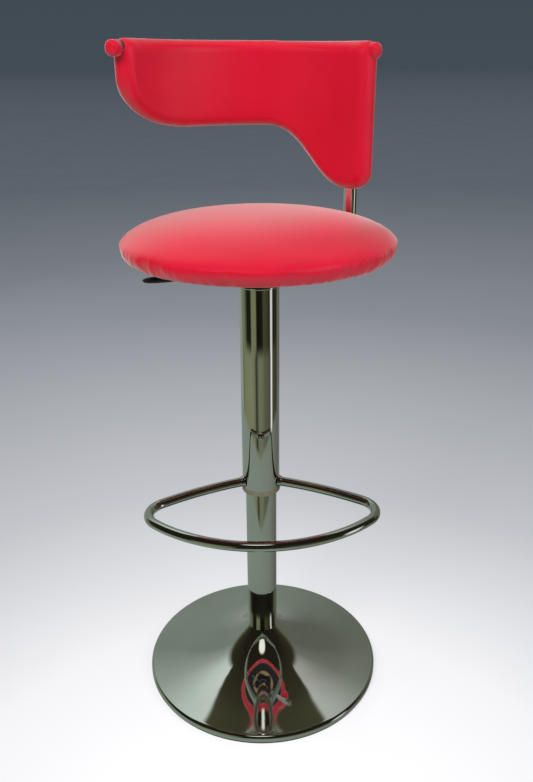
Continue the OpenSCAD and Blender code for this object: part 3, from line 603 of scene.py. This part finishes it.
def back_loft(name, inset, stations=120, around_count=56):
    reach = HALF - math.degrees(inset / BACK_R)
    verts, faces = [], []
    for k in range(stations + 1):
        angle = reach * math.sin(math.pi / 2 * (2 * k / stations - 1))
        s = max(0, (abs(angle) - (reach - 4.4)) / 4.4)
        bottom, top = panel_low(angle) + inset, panel_high(angle) - inset
        half_h = max(0.5 * MM, (top - bottom) / 2)
        half_t = (BACK_T / 2 - inset) * max(0.12, math.sqrt(max(0.0, 1 - s * s)))
        corner_r = min(half_t, half_h)
        for i in range(around_count):
            a = 2 * math.pi * (i + 0.5) / around_count
            side = 1 if math.sin(a) > 0 else -1
            z = (bottom + top) / 2 + side * (half_h - corner_r) + corner_r * math.sin(a)
            verts.append(around(BACK_R + half_t * math.cos(a), angle, z))
    n = around_count
    for k in range(stations):
        for i in range(n):
            j = (i + 1) % n
            faces.append((k * n + i, (k + 1) * n + i, (k + 1) * n + j, k * n + j))
    faces += [tuple(range(n)), tuple(range(stations * n, (stations + 1) * n))[::-1]]
    return finish_mesh(name, verts, faces)


back_target = back_loft("back_target", 0)
back = back_loft("back_cushion", 3 * MM)
voxel(back, 5 * MM)
co = positions(back)
inflate(back, 4.0, co[:, 2] > 2.0, 22 * MM)
settle(back, back_target, 0.05, -0.5 * MM, 1.2 * MM)
relax(back, 5)
settle(back, back_target, 0.1, -0.2 * MM, 1.2 * MM)
relax(back, 1)
bpy.data.objects.remove(back_target)
subdivide(back)
dress(back, "red_vinyl", "lift", "back_foam", "back_cover")

# Covered ends of the top rail
for side_name in ("left", "right"):
    node = "rail_cap_" + side_name
    side = -1 if side_name == "left" else 1
    angle = side * (HALF + (2.0 if side < 0 else -0.4))
    r = 11.75 * MM
    profile = [(0.0, -16 * MM), (r * 0.9, -16 * MM), (r * 0.985, -4 * MM), (r, 0.5 * MM)]
    profile += [(r * math.cos(a) ** 0.9 if a < math.pi / 2 else 0.0, 2 * MM + 7 * MM * math.sin(a))
                for a in np.linspace(0, math.pi / 2, 12)]
    cap = lathe("rail_end_" + side_name, profile, 96, close=False)
    co = positions(cap)
    a = np.arctan2(co[:, 1], co[:, 0])
    pleats = 0.35 * MM * np.cos(9 * a + 0.7 * np.sin(3 * a)) * np.clip(co[:, 2] / (7 * MM), 0, 1)
    co[:, 2] += pleats * np.clip(np.hypot(co[:, 0], co[:, 1]) / r, 0, 1)
    set_positions(cap, co)
    tilt = math.atan(TOP_FALL / (BACK_R * math.sin(math.radians(HALF))))
    rail_z = BACK_TOP - BACK_T / 2 + 3.5 * MM
    cap.matrix_world = (Matrix.Rotation(math.radians(TURN), 4, "Z") @ Matrix.Translation((0, 0, rail_z))
                        @ Matrix.Rotation(tilt, 4, "Y") @ Matrix.Rotation(math.radians(90 - angle), 4, "Z")
                        @ Matrix.Translation((BACK_R + 2.5 * MM, 0, 0))
                        @ Matrix.Rotation(math.radians(side * 90), 4, "X"))
    dress(cap, "red_vinyl", "lift", node)

# ------------------------------------------------------------------ lever
LEVER_TURN = Matrix.Rotation(math.radians(90 + 101.5 + TURN), 4, "Z")
lever_z, lever_low = 724.3 * MM, 715.3 * MM
grip_in, grip_out = 126 * MM, 172 * MM


def smooth_path(points, radius, steps=8):
    out = [Vector(points[0])]
    for a, p, b in zip(points, points[1:], points[2:]):
        a, p, b = Vector(a), Vector(p), Vector(b)
        s, e = p + (a - p).normalized() * radius, p + (b - p).normalized() * radius
        out += [(1 - t) ** 2 * s + 2 * t * (1 - t) * p + t * t * e for t in np.linspace(0, 1, steps + 1)]
    return out + [Vector(points[-1])]


rod_path = smooth_path([(-3 * MM, 0, lever_z), (62 * MM, 0, lever_z),
                        (104 * MM, 0, lever_low), (150 * MM, 0, lever_low)], 12 * MM)
rod = sweep("lever_shaft", rod_path, 4 * MM, 32)
rod.data.transform(LEVER_TURN)
dress(rod, "polished_steel", "lever", "lever_rod")

grip_verts, grip_faces, rings, sides = [], [], 30, 32
for k in range(rings + 1):
    t = k / rings
    x = grip_in - 6 * MM + (grip_out - grip_in + 6 * MM) * t
    full = max(0.0, 1 - abs(2 * t - 1) ** 3.6) ** 0.5
    half_w = (5.6 + 3.4 * t) * MM * full
    half_h = (5.4 - 1.6 * t) * MM * full
    for i in range(sides):
        a = 2 * math.pi * i / sides
        c, s = math.cos(a), math.sin(a)
        y = half_w * math.copysign(abs(c) ** 0.85, c)
        z = lever_low + half_h * math.copysign(abs(s) ** 0.85, s)
        grip_verts.append((x, y, z))
for k in range(rings):
    for i in range(sides):
        j = (i + 1) % sides
        grip_faces.append((k * sides + i, (k + 1) * sides + i, (k + 1) * sides + j, k * sides + j))
grip = finish_mesh("lever_paddle", grip_verts, grip_faces)
grip.data.transform(LEVER_TURN)
dress(grip, "black_plastic", "lever", "lever_grip")

# ------------------------------------------------------------------ camera
camera_data = bpy.data.cameras.new("camera")
camera = bpy.data.objects.new("camera", camera_data)
scene.collection.objects.link(camera)
scene.camera = camera
camera_data.sensor_width = 36
camera_data.lens = 796 * 36 / 782
camera_data.clip_start, camera_data.clip_end = 0.05, 400
CAMERA_AT, CAMERA_DOWN, CAMERA_ROLL = (0.0098, -1.142, 1.009), 23, -0.38     # metres and degrees
camera.matrix_world = (Matrix.Translation(CAMERA_AT) @ Matrix.Rotation(math.radians(90 - CAMERA_DOWN), 4, "X")
                       @ Matrix.Rotation(math.radians(CAMERA_ROLL), 4, "Z"))

# ------------------------------------------------------------------ floor
FLOOR_HALF = 150
floor = finish_mesh("floor", [(x * FLOOR_HALF, y * FLOOR_HALF, 0)
                              for x, y in ((-1, -1), (1, -1), (1, 1), (-1, 1))], [(0, 1, 2, 3)])
floor.location.z = -0.0002
floor.visible_glossy = False
mat = bpy.data.materials.new("floor")
mat.use_nodes = True
n = Nodes(mat.node_tree)
place = n.add("ShaderNodeTexCoord").outputs["Object"]
# Painted pool of light: the floor is palest round a spot 0.4 m in front of the stool and darkens outwards to slate
# far off.
from_light_pool = n.add("ShaderNodeVectorMath", {0: place, 1: (0, 0.4, 0)}, operation="ADD").outputs[0]
distance = n.add("ShaderNodeVectorMath", {0: from_light_pool}, operation="LENGTH").outputs["Value"]
spread = n.math("LOGARITHM", n.math("ADD", distance, 0.3), 10.0)
FLOOR_POOL_LIGHT = [(0.1, (252, 252, 253)), (0.5, (233, 233, 236)), (1, (188, 190, 195)), (2.5, (132, 136, 143)),
         (6, (95, 103, 112)), (60, (69, 79, 89))]
span_low, span_high = math.log10(0.3), math.log10(60.3)
stops = [((math.log10(d + 0.3) - span_low) / (span_high - span_low),
          linear(*colour)) for d, colour in FLOOR_POOL_LIGHT]
painted_pool_light = n.ramp(n.span(spread, span_low, span_high), stops)
speckled_pool_light = n.mix(n.span(n.noise(place, 3.0, 5.0), 0.3, 0.7, 0.0, 0.02), painted_pool_light, (0.5, 0.5, 0.5, 1))
diffuse = n.add("ShaderNodeBsdfDiffuse", {"Color": speckled_pool_light, "Roughness": 1.0}).outputs[0]
# Painted glow: most of the floor's brightness is emission of the painted pool of light, not light falling on it.
glow = n.add("ShaderNodeEmission", {"Color": speckled_pool_light, "Strength": 1.17}).outputs[0]
FLOOR_GLOW = 0.72
both = n.add("ShaderNodeMixShader", {0: FLOOR_GLOW}).outputs[0]
n.tree.links.new(diffuse, both.node.inputs[1])
n.tree.links.new(glow, both.node.inputs[2])
out = n.add("ShaderNodeOutputMaterial")
n.tree.links.new(both, out.inputs[0])
floor.data.materials.append(mat)

# ------------------------------------------------------------------ world: a studio seen in the chrome
world = bpy.data.worlds.new("studio")
scene.world = world
world.use_nodes = True
n = Nodes(world.node_tree)
direction = n.add("ShaderNodeTexCoord").outputs["Generated"]
xyz = n.add("ShaderNodeSeparateXYZ", {0: direction})
x, y, z = xyz.outputs[0], xyz.outputs[1], xyz.outputs[2]
DEG = 180 / math.pi
# azimuth is 0 towards -Y and grows towards +X; over is 0 towards +Y, 90 up and 180 towards -Y
azimuth = n.math("MULTIPLY", n.math("ARCTAN2", x, n.math("MULTIPLY", y, -1.0)), DEG)
elevation = n.math("MULTIPLY", n.math("ARCSINE", z), DEG)
over = n.math("MULTIPLY", n.math("ARCTAN2", z, y), DEG)
turnabout = n.span(azimuth, -180, 180)


def stripes(stops):
    return n.ramp(turnabout, [((a + 180) / 360, linear(*c)) for a, c in stops])


near_floor = stripes([(-180, (150, 160, 150)), (-135, (130, 142, 130)), (0, (127, 139, 125)), (60, (122, 130, 117)),
                      (95, (112, 114, 104)), (130, (96, 98, 88)), (180, (150, 160, 150))])
room_low = stripes([(-180, (150, 158, 150)), (-128, (120, 126, 112)), (-120, (98, 102, 78)), (-95, (122, 127, 95)),
                    (-50, (128, 132, 103)), (-30, (112, 116, 90)), (-24, (60, 63, 47)), (-17, (60, 63, 47)),
                    (-9, (108, 113, 91)), (0, (114, 119, 97)), (14, (110, 114, 92)), (30, (92, 94, 71)), (52, (88, 87, 70)),
                    (64, (72, 70, 58)), (67, (235, 235, 235)), (75, (235, 235, 235)), (78, (78, 74, 56)),
                    (105, (64, 60, 42)), (122, (74, 74, 60)), (132, (120, 122, 115)), (180, (150, 158, 150))])
room_far = stripes([(-180, (150, 158, 150)), (-125, (104, 108, 86)), (-100, (120, 124, 96)), (-75, (26, 27, 18)),
                    (-52, (30, 31, 20)), (-46, (120, 123, 92)), (-22, (118, 121, 90)), (-16, (20, 20, 14)),
                    (14, (26, 26, 18)), (22, (70, 70, 48)), (44, (64, 62, 42)), (60, (34, 32, 22)),
                    (67, (225, 225, 225)), (75, (225, 225, 225)), (79, (40, 37, 26)), (110, (44, 40, 28)),
                    (126, (90, 90, 80)), (180, (150, 158, 150))])
backdrop = n.ramp(n.span(elevation, -30, 60), [(0.0, linear(150, 158, 150)), (0.45, linear(126, 135, 124)),
                                               (0.72, linear(124, 134, 124)), (0.83, linear(156, 166, 157)),
                                               (0.93, linear(196, 208, 198)), (1.0, linear(206, 216, 208))])
warm = n.ramp(n.span(elevation, 30, 70), [(0.0, linear(88, 88, 76)), (0.4, linear(98, 98, 86)),
                                          (0.7, linear(150, 145, 138)), (1.0, linear(160, 156, 150))])
warm_side = n.mix(n.span(x, 0.02, 0.35), backdrop, n.mix(0.8, backdrop, warm))
ceiling = n.ramp(n.span(over, 50, 190), [(0.0, linear(84, 86, 64)), (0.12, linear(52, 50, 36)),
                                         (0.3, linear(34, 31, 23)), (0.7, linear(26, 25, 20)),
                                         (1.0, linear(46, 46, 36))])
room_low = n.mix(n.span(elevation, -18.8, -16.6, smooth=True), room_low, room_far)
drape = n.math("MULTIPLY", n.math("SUBTRACT", n.noise(direction, 5.0, 2.0), 0.5), 4.0)
front = n.mix(n.span(elevation, -2, 12, smooth=True), room_low, ceiling)
aside = n.math("MULTIPLY", n.math("MINIMUM", n.math("ABSOLUTE", x), 0.5), 69.0)
is_back = n.math("MULTIPLY", n.span(n.math("ABSOLUTE", azimuth), 112, 122, smooth=True),
                 n.span(n.math("ADD", n.math("SUBTRACT", over, aside), drape), 47.5, 45.5, smooth=True))
room = n.mix(is_back, front, warm_side)
edge = n.math("SUBTRACT", elevation, n.math("MULTIPLY", n.math("ABSOLUTE", azimuth), 0.063))
room = n.mix(n.span(edge, -31.6, -32.6), room, near_floor)
lamp_way = Vector((-0.03, -0.39, 0.92)).normalized()
lamp_dot = n.add("ShaderNodeVectorMath", {0: direction, 1: lamp_way}, operation="DOT_PRODUCT").outputs["Value"]
lamp = n.span(lamp_dot, math.cos(math.radians(9)), math.cos(math.radians(6)), smooth=True)
room = n.mix(lamp, room, linear(250, 252, 236))

light_path = n.add("ShaderNodeLightPath")
slate = n.ramp(n.span(elevation, -2, 40), [(0.0, linear(68, 78, 87)), (0.25, linear(62, 72, 81)),
                                              (1.0, linear(54, 63, 72))])
soft = n.mix(0.5, room, linear(150, 152, 150))
seen = n.mix(light_path.outputs["Is Diffuse Ray"], room, soft)
seen = n.mix(light_path.outputs["Is Camera Ray"], seen, slate)
background = n.add("ShaderNodeBackground", {"Color": seen, "Strength": 1.0})
out = n.add("ShaderNodeOutputWorld")
n.tree.links.new(background.outputs[0], out.inputs[0])


# ------------------------------------------------------------------ lights
def area(name, at, aim, size, power, colour):
    data = bpy.data.lights.new(name, "AREA")
    data.shape, data.size, data.energy, data.color = "DISK", size, power, colour
    light = bpy.data.objects.new(name, data)
    scene.collection.objects.link(light)
    light.matrix_world = (Matrix.Translation(at)
                          @ (Vector(at) - Vector(aim)).to_track_quat("Z", "Y").to_matrix().to_4x4())
    light.visible_camera = False
    light.visible_glossy = False               # the metal mirrors the studio above, not the lamps


area("key", (-1.1, -1.5, 2.5), (0, 0, 0.8), 1.3, 48, (1, 0.985, 0.96))
area("fill", (1.6, -1.2, 1.6), (0, 0, 0.7), 1.6, 20, (0.96, 0.98, 1))
area("top", (0.1, 0.5, 2.6), (0, 0.1, 0.8), 1.4, 8, (1, 1, 1))
area("behind", (-1.5, 2.0, 1.5), (-0.05, 0, 0.8), 0.8, 40, (1, 0.99, 1))

scene.view_settings.view_transform = "Standard"
